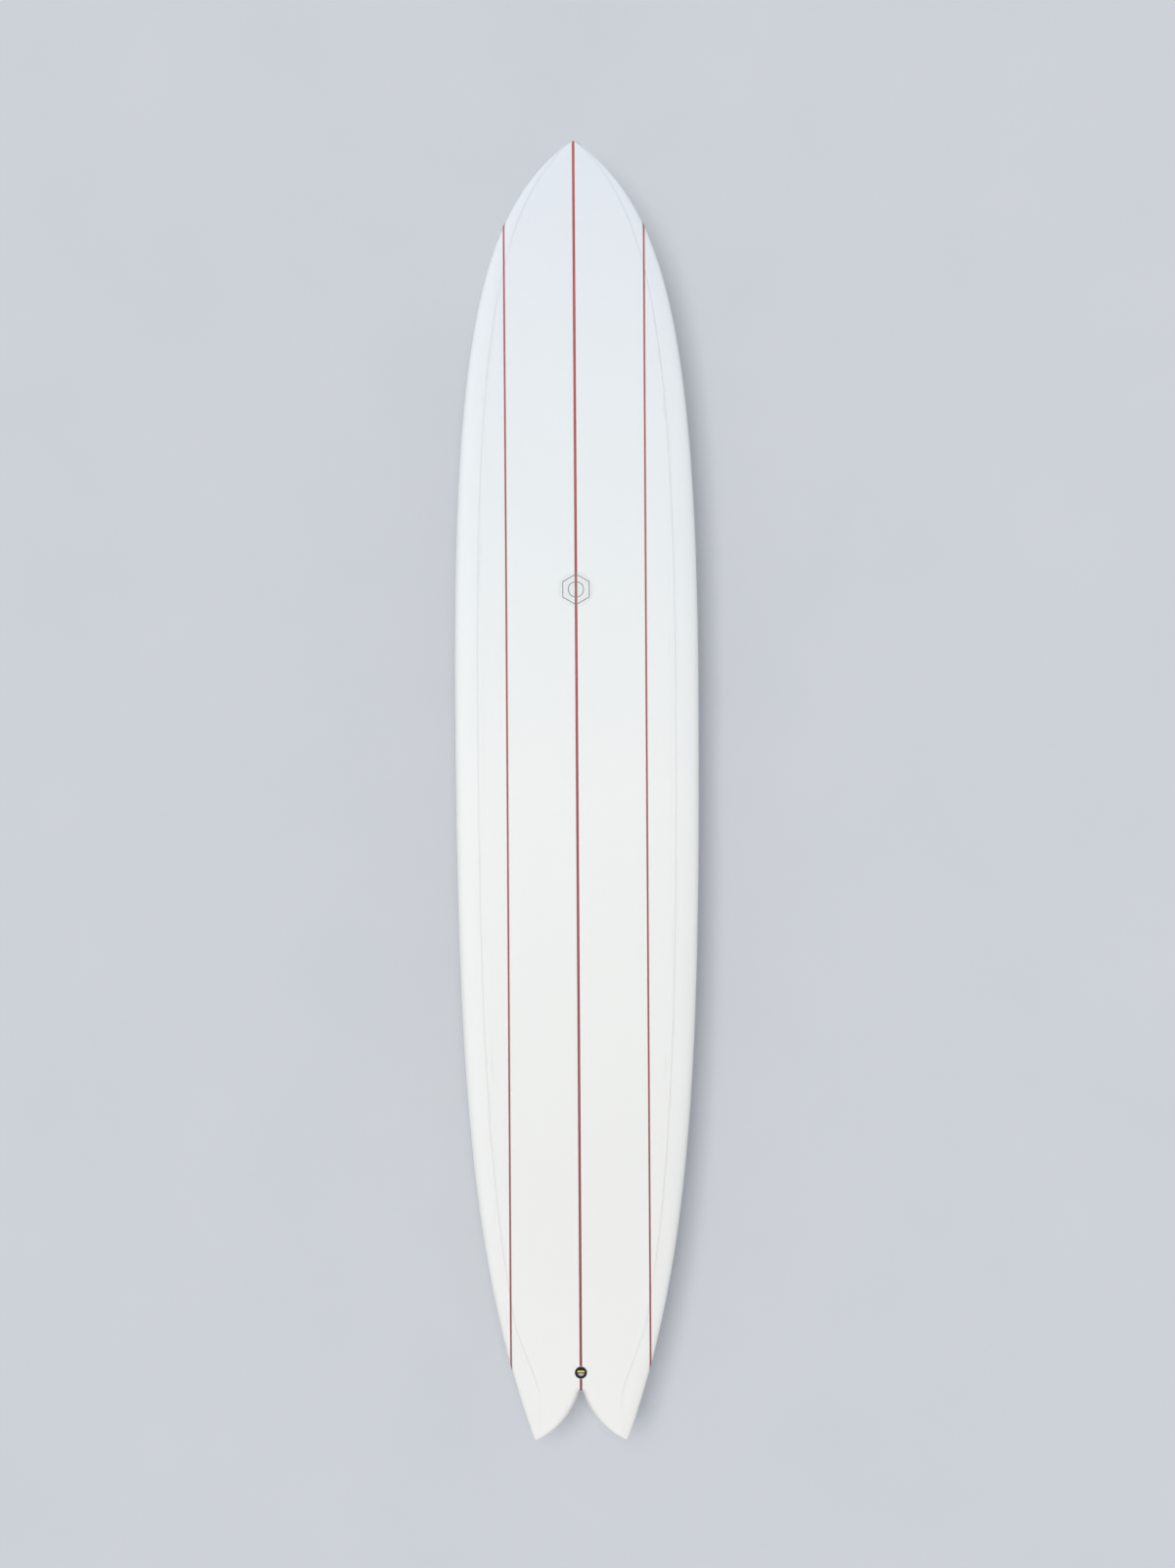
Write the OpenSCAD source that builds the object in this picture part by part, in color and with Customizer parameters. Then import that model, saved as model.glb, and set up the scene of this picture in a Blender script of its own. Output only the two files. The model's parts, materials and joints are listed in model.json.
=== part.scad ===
// Long three-stringer surfboard with a swallow tail: four strips of foam and three wooden stringers
// glued into one blank, a skin of glass cloth and resin, a leash plug and a long centre fin box.
// +Z is out of the deck, +Y is towards the nose and +X is towards the right rail.
// The origin is on the bottom, on the centreline, half-way along the board. Sizes are in millimetres.

/* [Board] */
// Length from the nose to a line across the tail tips
board_l = 3048; // [2940:12:3156]
// Width at the widest station
board_w = 578; // [558:4:598]
// Thickness at the thickest station
board_t = 79; // [74:1:86]
// How far the widest station lies ahead of mid-length
wide_ahead = 241; // [221:4:261]
// How far the thickest station lies ahead of mid-length
thick_ahead = 100; // [60:10:140]
// Lift of the nose above the flattest part of the bottom
nose_lift = 118; // [90:2:140]
// Lift of the tail tips above the flattest part of the bottom
tail_lift = 62; // [50:2:74]
// Length of the flat at the middle of the bottom
flat_l = 120; // [60:20:200]

/* [Swallow tail] */
// Depth of the swallow, from the crotch to the tail tips
swallow_d = 117.2; // [110:0.8:130]
// Distance between the tail tips
tip_spread = 214; // [200:2:224]
// Radius of the curve from the crotch to each tip
rim_r = 198; // [180:1:230]

/* [Blank and skin] */
// Thickness of the centre stringer
centre_stringer_t = 6.35; // [4:0.05:10]
// Thickness of each side stringer
side_stringer_t = 4.4; // [3:0.2:7]
// Distance from the centreline to the middle of a side stringer
side_stringer_x = 164; // [140:1:180]
// Thickness of one layer of cloth and resin
layer_t = 0.5; // [0.4:0.05:0.8]
// Diameter of the printed tissue under the deck cloth
decal_d = 82; // [40:2:100]
// How far the tissue lies ahead of mid-length
decal_ahead = 479; // [380:1:600]

/* [Leash plug] */
// Diameter of the cup that is let into the deck
cup_d = 28.6; // [26:0.1:32]
// Depth of the cup
cup_h = 20; // [18:0.5:22]
// Diameter of the mouth of the cup
mouth_d = 17.6; // [15:0.1:19]
// Depth of the mouth
mouth_h = 13; // [11:0.5:15]
// Diameter of the bar that the leash cord ties to
bar_d = 4.8; // [3:0.1:5]
// Distance from the crotch to the middle of the cup
cup_ahead = 46; // [40:1:52]

/* [Fin box and fin] */
// Length of the fin box
box_l = 273; // [268:1:276]
// Width of the fin box
box_w = 27; // [25:0.5:28]
// Depth of the fin box
box_h = 26; // [24.5:0.5:27]
// Distance from the crotch to the back end of the fin box
box_ahead = 100; // [90:1:110]
// Width of the slot in the fin box
slot_w = 9.7; // [9.5:0.1:10]
// Length of the slot
slot_l = 254; // [250:1:256]
// Depth of the fin below the bottom of the board
fin_h = 241; // [200:1:260]
// Length of the fin along the board
fin_base_l = 160; // [150:1:165]
// How far the fin can move each way from the middle of its travel
fin_travel = 30; // [20:1:32]

/* [Hidden] */
$fn = 48;

foam_white = "#f2f3f1";
cedar_red = "#a8564e";
skin_clear = "#e9edec";
plug_black = "#18181a";
brass_yellow = "#e6c75a";
resin_white = "#dfe3e1";
steel_grey = "#b9bcc0";
fin_glass = "#cfd8c4";

skin_t = 2 * layer_t;
fit_gap = 0.06;    // clearance all round a shaft in its hole

// ---------- Outline, seen from above ----------

nose_y = board_l / 2;
tail_y = -board_l / 2;
crotch_y = tail_y + swallow_d;
half_w = board_w / 2;
nose_len = nose_y - wide_ahead;
tail_len = wide_ahead - tail_y;
nose_blunt = 8.2;    // half-width that the nose curve ends with
nose_round = 6;      // length over which the nose is rounded off
tip_blunt = 2.5;     // half-width that each tail tip ends with
tip_round = 8;       // length over which a tail tip is rounded off
crotch_round = 3.5;  // radius in the crotch, a little over half the centre stringer's thickness
tip_x = tip_spread / 2;

// The rail is one cubic curve from the widest station to the nose, and one from there to the tail.
// Each runs on parallel to the centreline for the first share and turns in at its second handle.
nose_curve = [
    [half_w, wide_ahead],
    [half_w, wide_ahead + 0.688 * nose_len],
    [0.715 * half_w, nose_y - 0.1143 * nose_len],
    [nose_blunt, nose_y]];
tail_curve = [
    [half_w, wide_ahead],
    [half_w, wide_ahead - 0.498 * tail_len],
    [0.909 * half_w, tail_y + 0.236 * tail_len],
    [tip_x + tip_blunt, tail_y]];

function mix(a, b, share) = a + (b - a) * share;
function clamp(value) = max(0, min(1, value));

// Quarter of an ellipse: 0 at the edge, 1 from a whole unit in
function ease(share) = sqrt(1 - pow(1 - clamp(share), 2));

function cubic(p, t) =
    pow(1 - t, 3) * p[0] + 3 * pow(1 - t, 2) * t * p[1] + 3 * (1 - t) * t * t * p[2] + pow(t, 3) * p[3];

// Where a curve reaches y, found by halving the stretch that holds it
function cubic_at(p, y, low = 0, high = 1, halvings = 30) =
    let (middle = (low + high) / 2)
    halvings == 0 ? cubic(p, middle)
    : abs(cubic(p, middle).y - p[0].y) < abs(y - p[0].y)
        ? cubic_at(p, y, middle, high, halvings - 1)
        : cubic_at(p, y, low, middle, halvings - 1);

function rail_x(y) =
    cubic_at(y > wide_ahead ? nose_curve : tail_curve, y).x * ease((nose_y - y) / nose_round);

// Edge of the swallow: a small round in the crotch, and a large arc from there to the inside of the tail
// tip. The circles of the two touch each other.
crotch_middle = [0, crotch_y - crotch_round];
rim_middle =
    let (
        chord = [tip_x - tip_blunt, tail_y] - crotch_middle,
        l = norm(chord),
        far_r = rim_r + crotch_round,
        forward = (far_r * far_r - rim_r * rim_r + l * l) / (2 * l),
        aside = sqrt(far_r * far_r - forward * forward))
    crotch_middle + (forward * chord + aside * [-chord.y, chord.x]) / l;
touch_y = crotch_middle.y + crotch_round * (rim_middle.y - crotch_middle.y) / (rim_r + crotch_round);

function rim_x(y) =
    y >= crotch_y ? 0
    : y > touch_y ? sqrt(pow(crotch_round, 2) - pow(y - crotch_middle.y, 2))
    : rim_middle.x - sqrt(pow(rim_r, 2) - pow(y - rim_middle.y, 2));

// ---------- Heights, seen from the side ----------

// Bottom on the centreline: flat in the middle, flipped up at the nose, straight over the fin box
flip = 2.3;
straight_after = 900;    // distance behind the flat at which the bottom runs straight to the tail
rise_l = board_l / 2 - flat_l / 2;
tail_bend = tail_lift / (straight_after * (2 * rise_l - straight_after));
tail_slope = 2 * tail_bend * straight_after;

function tail_rise(run) =
    run < straight_after ? tail_bend * run * run : tail_bend * straight_after * (2 * run - straight_after);
function rocker(y) =
    y > flat_l / 2 ? nose_lift * pow((y - flat_l / 2) / rise_l, flip)
    : y < -flat_l / 2 ? tail_rise(-y - flat_l / 2)
    : 0;

nose_t = 14;
tail_t = 18;
foil_power = 2.4;

// How far a station lies from the thickest one: 0 there, 1 at the nose, -1 at the tail
function along(y) = (y - thick_ahead) / (y > thick_ahead ? nose_y - thick_ahead : thick_ahead - tail_y);
function thickness(y) =
    let (end_t = y > thick_ahead ? nose_t : tail_t)
    mix(board_t, end_t, pow(min(1, abs(along(y))), foil_power));

// Share of the thickness that lies below the widest part of the rail: even at the nose, low at the tail
function apex_share(y) = 0.42 + (along(y) > 0 ? 0.08 : -0.10) * pow(along(y), 2);

// Widths over which the deck and the bottom roll into the rail and into the swallow's edge,
// as shares of the thickness, and the most of a lobe's width that one of them may take
deck_roll = 0.95;
bottom_roll = 0.5;
deck_rim_roll = 0.6;
bottom_rim_roll = 0.2;
most_roll = 0.6;
deck_crown = 0.35;    // share of the deck's height above the rail that its crown takes up

function roll_l(share, y) = max(0.01, min(share * thickness(y), most_roll * (rail_x(y) - rim_x(y))));

// Distance from a point to the swallow's edge: to its arc from points behind the line on which the two
// circles touch, and to the round in the crotch from points ahead of it
function from_rim(x, y) =
    let (p = [x, y], line = crotch_middle - rim_middle, way = p - rim_middle)
    line.x * way.y - line.y * way.x > 0
        ? rim_r - norm(way)
        : norm(p - crotch_middle) - crotch_round;

function rail_z(y) = rocker(y) + apex_share(y) * thickness(y);
function rolled(x, y, at_rail, at_rim) =
    ease((rail_x(y) - x) / roll_l(at_rail, y)) * ease(from_rim(x, y) / roll_l(at_rim, y))
    * ease((y - tail_y) / tip_round);
function deck_z(x, y) =
    let (crown = 1 - deck_crown * pow(x / max(0.01, rail_x(y)), 2))
    rail_z(y) + (1 - apex_share(y)) * thickness(y) * crown * rolled(x, y, deck_roll, deck_rim_roll);
function bottom_z(x, y) =
    rail_z(y) - apex_share(y) * thickness(y) * rolled(x, y, bottom_roll, bottom_rim_roll);

// ---------- The shaped surfaces, as a grid of rows across the board and columns along it ----------

nose_rows = 16;
back_rows = 15;
swallow_rows = 9;
columns = 10;
lap_column = 6;    // the cloth laps round the rail as far as this column, about 55 mm in
spread_l = 150;    // length ahead of the crotch over which the columns spread to both edges of a lobe

// Rows lie closer together towards the nose, the crotch and the tail tips. One is at each end of the flat.
crotch_row = nose_rows + back_rows + 1;
row_y = concat(
    [for (i = [0 : nose_rows]) mix(flat_l / 2, nose_y, cos(90 * i / nose_rows))],
    [for (i = [0 : back_rows]) mix(-flat_l / 2, crotch_y, sin(90 * i / back_rows))],
    [for (i = [1 : swallow_rows]) mix(crotch_y, tail_y, (1 - cos(180 * i / swallow_rows)) / 2)]);
last_row = len(row_y) - 1;

// Columns lie closer together towards the rail, and towards both edges of a lobe of the tail
function column_share(j, y) =
    mix(sin(90 * j / columns), (1 - cos(180 * j / columns)) / 2, clamp((crotch_y + spread_l - y) / spread_l));

row_middle = [for (y = row_y) y < crotch_y ? (rail_x(y) + rim_x(y)) / 2 : 0];
row_half = [for (i = [0 : last_row])
    (rail_x(row_y[i]) - row_middle[i]) * ease((row_y[i] - tail_y) / tip_round)];

// Share of the way from a row's middle to its rail
function reach(i, j) =
    let (share = column_share(j, row_y[i])) i > crotch_row ? 2 * share - 1 : share;

// Where a column would lie if the tail tips weren't rounded off. Heights are worked out there, so that
// the deck and the bottom still meet at the rail and at the swallow's edge.
function unrounded_x(i, j) = mix(row_middle[i], rail_x(row_y[i]), reach(i, j));

grid_top = [for (i = [0 : last_row]) [for (j = [0 : columns]) deck_z(unrounded_x(i, j), row_y[i])]];
grid_bottom = [for (i = [0 : last_row]) [for (j = [0 : columns]) bottom_z(unrounded_x(i, j), row_y[i])]];

// What is left of a half-span when a skin is taken off it. It stays above 0 where the board comes to a point.
function inset(span, depth) = span * span / max(0.001, span + depth);

// Rows at which the surface ends move inwards with the depth below the outside
function row_shift(i) = i == 0 ? -1 : i == crotch_row || i == last_row ? 1 : 0;

// A place on a surface, as [column, side, depth]: side is 1 on the deck and -1 on the bottom
function place(i, spot, hand) =
    let (
        j = spot[0],
        x = row_middle[i] + inset(row_half[i], spot[2]) * reach(i, j),
        middle = (grid_top[i][j] + grid_bottom[i][j]) / 2,
        half = max(0, (grid_top[i][j] - grid_bottom[i][j]) / 2))
    [x == 0 ? 0 : hand * x, row_y[i] + row_shift(i) * spot[2], middle + spot[1] * inset(half, spot[2])];

function spots(from, to, side, depth) =
    [for (j = [from : from > to ? -1 : 1 : to]) [j, side, depth]];

// The two triangles between two neighbouring spots of one row and the next. The cut always runs the same
// way across a cell, so two pieces that meet on a surface have the same triangles there.
function cell(a, b, next, forward) =
    forward ? [[a, b, b + next], [a, b + next, a + next]] : [[a, b, a + next], [b, b + next, a + next]];

function has_area(points, t) =
    norm(cross(points[t[1]] - points[t[0]], points[t[2]] - points[t[0]])) > 0.00001;

// A solid whose section is a closed loop of spots, carried along every row. With both hands it is the whole
// board's, and its sides on the centreline are left out, where the two halves join.
module loft(loop, hands) {
    n = len(loop);
    rows = last_row + 1;
    points = [for (hand = hands) for (i = [0 : last_row]) for (spot = loop) place(i, spot, hand)];
    triangles = [for (h = [0 : len(hands) - 1]) for (i = [0 : last_row - 1]) for (k = [0 : n - 1])
        let (first = (h * rows + i) * n, a = loop[k], b = loop[(k + 1) % n])
        if (len(hands) == 1 || i >= crotch_row || a[0] > 0 || b[0] > 0)
            let (forward = a[0] < b[0] || (a[0] == b[0] && a[2] < b[2]))
            for (t = cell(first + k, first + (k + 1) % n, n, forward))
                hands[h] > 0 ? t : [t[2], t[1], t[0]]];
    polyhedron(points, [for (t = triangles) if (has_area(points, t)) t], convexity = 8);
}

module blank(hands) {
    loft(concat(spots(0, columns, 1, skin_t), spots(columns - 1, 0, -1, skin_t)), hands);
}

// ---------- Blank: foam strips and stringers ----------

side_in = side_stringer_x - side_stringer_t / 2;
side_out = side_stringer_x + side_stringer_t / 2;
far = board_l;

// The part of the blank between two planes parallel to the centreline
module strip(from, to, hands) {
    intersection() {
        blank(hands);
        translate([from, -far, -far]) cube([to - from, 2 * far, 2 * far]);
    }
}

module rail_foam() {
    strip(side_out, far, [1]);
}

module centre_foam() {
    difference() {
        strip(centre_stringer_t / 2, side_in, [1]);
        plug_hole();
        box_pocket();
    }
}

module side_stringer() {
    strip(side_in, side_out, [1]);
}

module foam_left_rail() {
    color(foam_white) mirror([1, 0, 0]) rail_foam();
}

module foam_left_centre() {
    color(foam_white) mirror([1, 0, 0]) centre_foam();
}

module foam_right_centre() {
    color(foam_white) centre_foam();
}

module foam_right_rail() {
    color(foam_white) rail_foam();
}

module stringer_left() {
    color(cedar_red) mirror([1, 0, 0]) side_stringer();
}

module stringer_centre() {
    color(cedar_red) difference() {
        strip(-centre_stringer_t / 2, centre_stringer_t / 2, [1, -1]);
        plug_hole();
        box_pocket();
    }
}

module stringer_right() {
    color(cedar_red) side_stringer();
}

// ---------- Skin: cloth and resin over the blank ----------

// A prism with flat sides along Z, for openings that nothing turns in
module round_prism(d, low, high) {
    sides = 36;
    translate([0, 0, low]) linear_extrude(high - low)
        polygon([for (k = [0 : sides - 1]) d / 2 * [cos(360 * k / sides), sin(360 * k / sides)]]);
}

module decal_prism() {
    translate([0, decal_ahead, 0]) round_prism(decal_d, 0, 2 * board_t);
}

// Inner layer on the deck, between the laps of the bottom cloth
module deck_patch_sheet() {
    loft(concat(spots(0, lap_column, 1, layer_t), spots(lap_column, 0, 1, skin_t)), [1, -1]);
}

module deck_patch() {
    color(skin_clear) difference() {
        deck_patch_sheet();
        decal_prism();
        plug_hole();
    }
}

// Printed tissue, soaked in resin, in a window of the inner layer
module deck_decal() {
    color("#d9dcdb") intersection() {
        deck_patch_sheet();
        decal_prism();
    }
}

// Outer layer on the deck, lapped round the rails on to the bottom
module deck_laminate() {
    outside = concat(spots(0, columns, 1, 0), spots(columns - 1, lap_column, -1, 0));
    inside = concat(spots(lap_column, columns - 1, -1, layer_t), spots(columns, 0, 1, layer_t));
    color(skin_clear) difference() {
        loft(concat(outside, inside), [1, -1]);
        plug_hole();
    }
}

// Two layers deep on the bottom. Its inner layer laps round the rails on to the deck.
module bottom_laminate() {
    under_lap = concat(spots(lap_column, columns, 1, skin_t), spots(columns - 1, 0, -1, skin_t));
    outside = spots(0, lap_column, -1, 0);
    over_lap = concat(spots(lap_column, columns, -1, layer_t), spots(columns - 1, lap_column, 1, layer_t));
    rim = spots(0, 0, -1, layer_t);
    color(skin_clear) difference() {
        loft(concat(outside, over_lap, under_lap, rim), [1, -1]);
        box_pocket();
    }
}

// ---------- Leash plug ----------

cup_y = crotch_y + cup_ahead;
resin_side = 0.6;    // resin between a plug or box and the foam round it
resin_floor = 1.5;
bar_depth = 5;
bar_grip = 2.4;    // length of each end of the bar in the wall of the cup
bar_ahead = 2;    // the bar sits a little towards the nose
lip_r = 1.2;      // rounding where the rim turns down into the mouth

// Local frame of the plug: the origin is on the deck at the middle of the cup, and Z is out of the deck
cup_lean = atan((deck_z(0, cup_y + cup_d / 2) - deck_z(0, cup_y - cup_d / 2)) / cup_d);
module at_cup() {
    translate([0, cup_y, deck_z(0, cup_y)]) rotate([cup_lean, 0, 0]) children();
}

module plug_hole() {
    at_cup() round_prism(cup_d + 2 * resin_side, -cup_h - resin_floor, board_t);
}

bar_half_l = sqrt(pow(mouth_d / 2, 2) - pow(bar_ahead, 2)) + bar_grip;
module bar_shape(clearance) {
    translate([-bar_half_l - clearance, bar_ahead, -bar_depth]) rotate([0, 90, 0])
        cylinder(d = bar_d + 2 * clearance, h = 2 * (bar_half_l + clearance));
}

// Points of an arc, counted from one angle to another
function arc(centre, r, from, to, steps) =
    [for (k = [0 : steps]) let (turn = mix(from, to, k / steps)) centre + r * [cos(turn), sin(turn)]];

// Half-section of the cup: a flat rim, a rounded lip and a mouth that ends in a round bowl
cup_section = concat(
    [[0, -cup_h], [cup_d / 2, -cup_h], [cup_d / 2, 0]],
    arc([mouth_d / 2 + lip_r, -lip_r], lip_r, 90, 180, 4),
    arc([0, mouth_d / 2 - mouth_h], mouth_d / 2, 0, -90, 9));

module leash_plug_cup() {
    color(plug_black) at_cup() difference() {
        rotate_extrude() polygon(cup_section);
        bar_shape(fit_gap);
    }
}

module leash_plug_bar() {
    color(brass_yellow) at_cup() bar_shape(0);
}

module leash_plug_resin() {
    color(resin_white) at_cup() difference() {
        round_prism(cup_d + 2 * resin_side, -cup_h - resin_floor, 0);
        translate([0, 0, -cup_h]) cylinder(d = cup_d, h = 2 * cup_h);
    }
}

// ---------- Fin box ----------

box_y = crotch_y + box_ahead + box_l / 2;
slot_h = 19;
groove_w = 16;
groove_low = 7.5;    // the side grooves run between these depths
groove_high = 11.5;
notch_l = 18;        // the nut plate and the fin's pin drop in at this notch

// Local frame of the box: the origin is on the bottom of the board at the middle of the slot,
// Y runs along the slot towards the nose and Z is into the board
module at_box() {
    translate([0, box_y, rocker(box_y)]) rotate([-atan(tail_slope), 0, 0]) children();
}

// A block on the centreline, given by its width, its back and front ends and its low and high faces
module block(w, back, front, low, high) {
    translate([-w / 2, back, low]) cube([w, front - back, high - low]);
}

module box_pocket() {
    half_l = box_l / 2 + resin_side;
    at_box() block(box_w + 2 * resin_side, -half_l, half_l, -box_h, box_h + resin_floor);
}

module fin_box() {
    color(plug_black) at_box() difference() {
        block(box_w, -box_l / 2, box_l / 2, 0, box_h);
        block(slot_w, -slot_l / 2, slot_l / 2, -1, slot_h);
        block(groove_w, -slot_l / 2, slot_l / 2, groove_low, groove_high);
        block(groove_w, -notch_l / 2, notch_l / 2, -1, groove_high);
    }
}

module fin_box_resin() {
    half_l = box_l / 2 + resin_side;
    color(resin_white) at_box() difference() {
        block(box_w + 2 * resin_side, -half_l, half_l, 0, box_h + resin_floor);
        block(box_w, -box_l / 2, box_l / 2, -1, box_h);
    }
}

// ---------- Fin and what holds it ----------

fin_t = 9.2;
tab_t = 9.3;
tab_h = 16;
tongue_l = 22;     // the tongue ahead of the blade that the screw goes through
tongue_low = 3;
tongue_high = groove_low;
fin_front = (fin_base_l - tongue_l) / 2;
fin_back = fin_front - fin_base_l;
pin_d = 3.1;
pin_l = 15.4;
pin_y = fin_back + 7;
pin_z = (groove_low + groove_high) / 2;
plate_side = 15.6;
plate_t = 3;
plate_z = groove_low + fit_gap;
screw_y = fin_front + tongue_l / 2 + 1;
screw_d = 4;
screw_end = 15;
head_d = 8.4;
head_h = 2.4;
drive_w = 1.2;
drive_d = 1.3;

// Outlines of the blade's front and back edges, from the base to the tip, as [along the board, depth]
fin_tip = [fin_back - 0.24 * fin_base_l, -fin_h];
front_edge = [
    [fin_front, 0],
    [mix(fin_front, fin_tip.x, 0.20), -0.40 * fin_h],
    [mix(fin_front, fin_tip.x, 0.52), -0.86 * fin_h],
    fin_tip];
back_edge = [
    [fin_back, 0],
    [fin_back + 0.26 * fin_base_l, -0.26 * fin_h],
    [fin_back + 0.08 * fin_base_l, -0.68 * fin_h],
    fin_tip];
fin_rows = 16;
fin_columns = 10;
tip_thickness = 0.3;    // the blade's thickness near the tip, as a share of that at the base
tip_share = 0.1;        // the last share of the blade, over which the tip is rounded off

// Half-thickness of a rounded foil at a share of the way back from its front edge, 1 at its thickest
function foil(share) = 2.6 * sqrt(share) * (1 - share) * (1 - 0.13 * share);
function fin_point(i, j, hand) =
    let (
        t = 1 - pow(1 - i / fin_rows, 1.4),
        share = (1 - cos(180 * j / fin_columns)) / 2,
        p = mix(cubic(front_edge, t), cubic(back_edge, t), share),
        thin = mix(1, tip_thickness, t) * ease((1 - t) / tip_share))
    [hand * fin_t / 2 * thin * foil(share), p.x, i == 0 ? 0 : p.y];

module fin_blade() {
    n = 2 * fin_columns;
    ring = [for (k = [0 : n - 1]) k <= fin_columns ? [k, 1] : [n - k, -1]];
    points = [for (i = [0 : fin_rows]) for (spot = ring) fin_point(i, spot[0], spot[1])];
    sides = [for (i = [0 : fin_rows - 1]) for (k = [0 : n - 1])
        for (t = cell(i * n + k, i * n + (k + 1) % n, n, true)) [t[2], t[1], t[0]]];
    base = [for (k = [0 : n - 1]) k];
    polyhedron(points, concat([base], [for (t = sides) if (has_area(points, t)) t]), convexity = 4);
}

module fin() {
    color(fin_glass) at_box() difference() {
        union() {
            fin_blade();
            block(tab_t, fin_back, fin_front, 0, tab_h);
            block(tab_t, fin_front - 1, fin_front + tongue_l, tongue_low, tongue_high);
        }
        translate([-tab_t, pin_y, pin_z]) rotate([0, 90, 0])
            cylinder(d = pin_d + 2 * fit_gap, h = 2 * tab_t);
        translate([0, screw_y, 0]) cylinder(d = screw_d + 2 * fit_gap, h = tab_h);
    }
}

module fin_pin() {
    color(steel_grey) at_box() translate([-pin_l / 2, pin_y, pin_z]) rotate([0, 90, 0])
        cylinder(d = pin_d, h = pin_l);
}

module fin_nut_plate() {
    color(steel_grey) at_box() difference() {
        block(plate_side, screw_y - plate_side / 2, screw_y + plate_side / 2, plate_z, plate_z + plate_t);
        translate([0, screw_y, 0]) cylinder(d = screw_d + 2 * fit_gap, h = screw_end);
    }
}

module fin_screw() {
    color(steel_grey) at_box() translate([0, screw_y, 0]) difference() {
        union() {
            translate([0, 0, tongue_low - head_h]) cylinder(d = head_d, h = head_h);
            translate([0, 0, tongue_low - head_h / 2]) cylinder(d = screw_d, h = screw_end - tongue_low);
        }
        block(drive_w, -head_d, head_d, 0, tongue_low - head_h + drive_d);
    }
}

foam_left_rail();
foam_left_centre();
foam_right_centre();
foam_right_rail();
stringer_left();
stringer_centre();
stringer_right();
bottom_laminate();
deck_laminate();
deck_patch();
deck_decal();
leash_plug_cup();
leash_plug_bar();
leash_plug_resin();
fin_box();
fin_box_resin();
fin();
fin_pin();
fin_nut_plate();
fin_screw();
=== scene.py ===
"""Looks of the long three-stringer surfboard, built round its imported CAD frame.

The board's strips of foam, stringers and layers of skin are rebuilt here from the same curves as the CAD
source, with many more rows and columns, so that the gloss on them is smooth. Shapes are worked out in
millimetres, with the frame's axes: +Z out of the deck, +Y towards the nose, +X towards the right rail.
"""

import json
import math

import bmesh
import bpy
import numpy as np
from mathutils import Matrix, Vector


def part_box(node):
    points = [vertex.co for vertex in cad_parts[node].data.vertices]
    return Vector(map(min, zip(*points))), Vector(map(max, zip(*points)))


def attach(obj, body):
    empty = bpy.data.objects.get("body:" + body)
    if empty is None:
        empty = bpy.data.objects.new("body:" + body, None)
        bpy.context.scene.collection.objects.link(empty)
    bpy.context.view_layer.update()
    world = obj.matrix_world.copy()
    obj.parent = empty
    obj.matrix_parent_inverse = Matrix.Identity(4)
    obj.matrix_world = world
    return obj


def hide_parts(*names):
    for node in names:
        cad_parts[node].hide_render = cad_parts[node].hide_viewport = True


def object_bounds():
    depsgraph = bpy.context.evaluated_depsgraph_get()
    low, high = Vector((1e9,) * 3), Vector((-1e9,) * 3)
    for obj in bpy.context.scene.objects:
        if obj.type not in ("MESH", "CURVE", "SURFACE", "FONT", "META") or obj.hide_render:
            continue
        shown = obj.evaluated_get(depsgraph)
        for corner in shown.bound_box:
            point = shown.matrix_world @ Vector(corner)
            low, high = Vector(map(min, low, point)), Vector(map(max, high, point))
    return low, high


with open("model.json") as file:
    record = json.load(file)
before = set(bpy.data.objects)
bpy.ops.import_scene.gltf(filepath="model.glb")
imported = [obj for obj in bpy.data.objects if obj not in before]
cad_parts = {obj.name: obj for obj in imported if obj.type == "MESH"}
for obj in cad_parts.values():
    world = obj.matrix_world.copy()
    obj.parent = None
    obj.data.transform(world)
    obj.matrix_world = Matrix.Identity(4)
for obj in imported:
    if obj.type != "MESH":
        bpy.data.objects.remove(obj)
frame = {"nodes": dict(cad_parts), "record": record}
cad_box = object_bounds()

MM = 0.001

# ---------- Sizes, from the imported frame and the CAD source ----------

skin_low, skin_high = (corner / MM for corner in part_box("deck_laminate"))
NOSE_Y = skin_high.y
TAIL_Y = skin_low.y
HALF_W = skin_high.x
SWALLOW_D = 117.2
CROTCH_Y = TAIL_Y + SWALLOW_D
WIDE_Y = 241.0  # the widest station
THICK_Y = 100.0  # the thickest station
BOARD_T = 79.0
NOSE_T = 14.0
TAIL_T = 18.0
FOIL_POWER = 2.4
NOSE_LIFT = 118.0
TAIL_LIFT = 62.0
NOSE_FLIP = 2.3
HALF_FLAT = 60.0
STRAIGHT_AFTER = 900.0  # distance behind the flat at which the bottom runs straight to the tail
APEX_SHARE = 0.42  # share of the thickness that lies below the widest part of the rail
DECK_CROWN = 0.35  # share of the deck's height above the rail that its crown takes up
DECK_ROLL, DECK_RIM_ROLL = 0.95, 0.6  # widths that the deck rolls over, as shares of the thickness
BOTTOM_ROLL, BOTTOM_RIM_ROLL = 0.5, 0.2
MOST_ROLL = 0.6  # the most of a lobe's width that one roll may take
CENTRE_STRINGER = 6.35 / 2
SIDE_STRINGER = (161.8, 166.2)
LAYER_T = 0.5
LAYER_GAP = 0.03  # air left between two layers, so that no two surfaces coincide
FAR = 1000.0

TIP_X = 107.0  # middle of a tail tip
TIP_BLUNT = 2.5

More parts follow.
